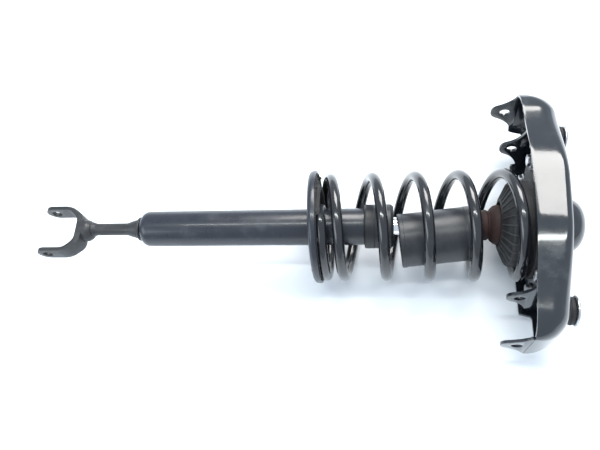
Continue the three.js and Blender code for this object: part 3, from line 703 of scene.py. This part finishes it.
def ear_side(tip, root_x, root_half, steps=14):
    """One side of an ear's outline in height and z, from its root to its tip."""
    touch = 0.6 * math.pi
    end = (tip + EAR_RADIUS * (1 + math.cos(touch)), EAR_RADIUS * math.sin(touch))
    control = (tip + 24, end[1] + 8)
    side = []
    for i in range(steps):
        t = i / steps
        side.append(tuple((1 - t) ** 2 * p + 2 * t * (1 - t) * q + t * t * r
                          for p, q, r in zip((root_x, root_half), control, end)))
    side += arc((tip + EAR_RADIUS, 0), EAR_RADIUS, math.degrees(touch), 180, 10)
    return side


def make_bracket():
    """The pressed sheet: its outside as one open surface from end to end, then thickened inwards."""
    rows = []
    steps = 18
    for i in range(steps + 1):
        a = math.pi / 2 * (1 - i / steps)
        narrowing = 22 * (1 - math.sqrt(1 - (0.97 * math.sin(a)) ** 2))
        rows.append((HALF_LENGTH - CORNER * (1 - math.sin(a)), CORNER * (1 - math.cos(a)), narrowing))
    straight = HALF_LENGTH - CORNER
    inner = [straight * (1 - i / 42) for i in range(1, 42)]
    rows += [(y, 0, 0) for y in inner] + [(0, 0, 0)]
    rows = [(-y, d, n) for y, d, n in rows] + [(y, d, n) for y, d, n in reversed(rows[:-1])]
    sections = [section(*row) for row in rows]
    for end in (0, -1):
        sections = add_end_wall(sections, end)
    count = len(sections[0])
    verts = [p for line in sections for p in line]
    faces = []
    for r in range(len(sections) - 1):
        for c in range(count - 1):
            a = r * count + c
            faces.append([a, a + count, a + count + 1, a + 1])
    shape = body("bracket", verts, faces, BRACKET)
    if shape.data.polygons[len(faces) // 2].normal.x < 0:
        shape.data.flip_normals()
    edit = bmesh.new()
    edit.from_mesh(shape.data)
    bmesh.ops.remove_doubles(edit, verts=edit.verts, dist=1e-5)
    edit.to_mesh(shape.data)
    edit.free()
    sheet = shape.modifiers.new("sheet", "SOLIDIFY")
    sheet.thickness = SHEET * MM
    sheet.offset = -1
    applied(shape)
    bevelled(shape, 0.7, 2, 60)
    finished(shape, GLOSS_PAINT, TOP, ["bracket_shell"], 42)


def add_end_wall(sections, end):
    """Closes the end with a wall, from the last section's arch down to the line between its two edges."""
    arch = sections[end]
    y = arch[0][1]
    near, far = arch[0], arch[-1]
    line = resampled([(near[0], near[2]), (far[0], far[2])], len(arch))
    rows = []
    for k in range(1, 7):
        t = k / 6
        rows.append([(a[0] + (b[0] - a[0]) * t, y, a[2] + (b[1] - a[2]) * t) for a, b in zip(arch, line)])
    return rows[::-1] + sections if end == 0 else sections + rows


def make_outer_ears():
    near_x, far_x = wall_edge(HALF_LENGTH), far_edge(HALF_LENGTH)
    side = ear_side(EAR_TIP, near_x, EAR_ROOT)
    outline = [(near_x + 5, EAR_ROOT - 3), *side, *[(x, -z) for x, z in side[-2::-1]],
               (far_x + 5, 3 - EAR_ROOT)]
    for label, end in (("lower", -1), ("upper", 1)):
        low, high = sorted((end * (HALF_LENGTH - 4), end * (HALF_LENGTH - 0.5)))
        shape = body(f"outer_ear_{label}", *prism(outline, low, high, "Y"), BRACKET)
        ring = circle((EAR_TIP + 18, 0), EAR_HOLE, 48)
        combined(shape, "DIFFERENCE", body("ear_hole", *prism(ring, low - 6, high + 6, "Y"), BRACKET))
        bevelled(shape, 0.8, 3, 40)
        finished(shape, GLOSS_PAINT, TOP, ["bracket_shell"])


def make_inner_ears():
    side = ear_side(INNER_EAR_TIP, 3, 50)
    outline = [(16, 52.6), *side, *[(x, -z) for x, z in side[-2::-1]], (16, -52.6)]
    for label, end in (("lower", -1), ("upper", 1)):
        y = end * EAR_Y
        shape = body(f"inner_ear_{label}", *prism(outline, y - 2, y + 2, "Y"), BRACKET)
        ring = circle((INNER_EAR_TIP + 15, 0), EAR_HOLE, 48)
        combined(shape, "DIFFERENCE", body("ear_hole", *prism(ring, y - 8, y + 8, "Y"), BRACKET))
        bevelled(shape, 0.8, 3, 40)
        finished(shape, GLOSS_PAINT, TOP, [f"arm_ear_{label}"])


def make_fittings():
    for label, end in (("lower", -1), ("upper", 1)):
        y = end * BUSH_SPACING
        seat = web_height(y) + 1.2
        place = BRACKET @ Matrix.Translation((0, y, 0))
        bush = [(seat - 1.4, 8.3), (seat - 1.4, 15.2), (seat, 15.8), (seat + 2.4, 16.4), (seat + 4.0, 15.6),
                (seat + 5.2, 15.6), (seat + 6.6, 16.5), (seat + 9.4, 15.8), (seat + 11, 15), (seat + 11, 8.3)]
        turned(f"bush_{label}", bush, RUBBER, TOP, [f"body_bush_{label}"], place, 72, 0.8)
        washer = [(seat + 11.3, 8.3), (seat + 11.3, 16.5), (seat + 12.6, 17.7), (seat + 13.6, 17.7),
                  (seat + 15.3, 16.4), (seat + 15.3, 13.2), (seat + 14.6, 12.6), (seat + 14.6, 8.3)]
        turned(f"washer_{label}", washer, ZINC, TOP, [f"bush_washer_{label}"], place, 72, 0.4)
        insert = [(seat - 9, 4.2), (seat - 9, 7.7), (seat + 15.8, 7.7), (seat + 15.8, 5.0),
                  (seat + 15.0, 4.2)]
        turned(f"insert_{label}", insert, ZINC, TOP, [f"threaded_insert_{label}"], place,
               48, 0.3)
    base = web_height(PIN_Y)
    pin = [(base - 1, 0), (base - 1, 4.6), (base + 0.9, 4.4), (base + 1.4, 3.5), (base + 7, 3.5),
           (base + 9, 1.9), (base + 9, 0)]
    place = BRACKET @ Matrix.Translation((0, PIN_Y, 0))
    turned("pin", pin, ZINC, TOP, ["locating_pin"], place, 40, 0.3)


def make_dome():
    base = web_height(-BRACKET_SHIFT) + 1.1
    outside = [(base, 37), (base + 1.6, 37), (base + 2.6, 35), (base + 5.5, 34.1), (base + 10, 33),
               (base + 14.4, 31), (base + 18, 28.5), (base + 21.6, 24.4), (base + 24.5, 19),
               (base + 26.7, 12), (base + 27.7, 6), (base + 28, 0)]
    inside = [(base + 25.5, 0), (base + 22.5, 17), (base + 16.5, 26.5), (base + 9, 31), (base, 31.5)]
    radii = [0.5, 0.5, 1, 2, 3, 3, 3, 3, 4, 4, 4, 0, 0, 3, 3, 3, 0.5]
    shape = body("dome", *lathe(filleted(outside + inside, radii, 3), 120), MOUNT)
    finished(shape, GLOSS_PAINT, TOP, ["dome_cap"], 50)


# ---------------------------------------------------------------- studio and camera

def make_floor():
    look, tree, shader, place = nodes_of("floor")
    cloud = noise(tree, place, 1.5, 3, 0.5)
    tree.links.new(mixed(tree, cloud, (0.86, 0.90, 0.95), (0.90, 0.93, 0.97)), shader.inputs["Base Color"])
    shader.inputs["Roughness"].default_value = 0.55
    bump(tree, noise(tree, place, 260, 3, 0.6), 0.04, 0.0006, shader)
    mesh = bpy.data.meshes.new("floor")
    size, cells = 4.0, 24
    row = cells + 1
    verts = [(-size + 2 * size * i / cells, -size + 2 * size * j / cells, FLOOR - 0.0004)
             for j in range(row) for i in range(row)]
    faces = [[j * row + i, j * row + i + 1, (j + 1) * row + i + 1, (j + 1) * row + i]
             for j in range(cells) for i in range(cells)]
    mesh.from_pydata(verts, [], faces)
    mesh.materials.append(look)
    floor = bpy.data.objects.new("floor", mesh)
    bpy.context.scene.collection.objects.link(floor)


def make_light(name, place, target, size, power, colour):
    lamp = bpy.data.lights.new(name, "AREA")
    lamp.shape = "RECTANGLE"
    lamp.size, lamp.size_y = size
    lamp.energy = power
    lamp.color = colour
    obj = bpy.data.objects.new(name, lamp)
    obj.location = place
    obj.rotation_euler = (Vector(target) - Vector(place)).to_track_quat("-Z", "Y").to_euler()
    bpy.context.scene.collection.objects.link(obj)
    return obj


def make_studio():
    world = bpy.data.worlds.new("studio")
    world.use_nodes = True
    background = world.node_tree.nodes["Background"]
    background.inputs["Color"].default_value = (0.80, 0.90, 1.0, 1)
    background.inputs["Strength"].default_value = 0.9
    bpy.context.scene.world = world
    make_light("key", (0.5, 1.5, 1.9), (0, 0, 0), (1.6, 1.2), 70, (1.0, 0.98, 0.95))
    make_light("strip", (0.1, 0.0, 1.7), (0.1, 0, 0), (1.8, 0.10), 14, (0.95, 1.0, 0.97))
    make_light("fill", (-1.6, -0.9, 1.2), (0, 0, 0), (1.4, 1.0), 16, (0.85, 0.92, 1.0))
    bpy.context.scene.view_settings.view_transform = "Standard"


def make_camera():
    data = bpy.data.cameras.new("camera")
    data.sensor_width = 36
    data.lens = 36
    camera = bpy.data.objects.new("camera", data)
    azimuth, elevation, roll = math.radians(19.66), math.radians(64.59), math.radians(-18.58)
    distance = 0.7649
    target = Vector((0.0044, -0.0054, ORIGIN.z))
    away = Vector((math.sin(azimuth) * math.cos(elevation), -math.cos(azimuth) * math.cos(elevation),
                   math.sin(elevation)))
    camera.location = target + away * distance
    turn = (-away).to_track_quat("-Z", "Y").to_matrix().to_4x4() @ Matrix.Rotation(roll, 4, "Z")
    camera.rotation_euler = turn.to_euler()
    bpy.context.scene.collection.objects.link(camera)
    bpy.context.scene.camera = camera


def finish_cad_nodes():
    """Procedural materials on the CAD solids that no piece replaces."""
    looks = {"bracket_paint": GLOSS_PAINT, "spring_paint": SPRING_PAINT, "tube_paint": TUBE_PAINT,
             "fork_paint": FORK_PAINT, "black_plastic": PLASTIC, "rubber": RUBBER, "zinc_plate": ZINC,
             "hard_chrome": CHROME, "bare_steel": STEEL, "sintered_iron": SINTERED, "band_plastic": BAND,
             "urethane": URETHANE}
    slots = {part["node"]: part["material_slot"] for part in frame["record"]["subparts"]}
    for name, obj in frame["nodes"].items():
        for place in obj.material_slots:
            place.material = looks[slots[name]]


make_fork()
make_stem()
make_damper()
make_seat()
make_pad()
make_spring()
make_rod_parts()
make_dust_tube()
make_upper_seat()
make_bolts()
make_bracket()
make_outer_ears()
make_inner_ears()
make_fittings()
make_dome()
finish_cad_nodes()
make_floor()
make_studio()
make_camera()
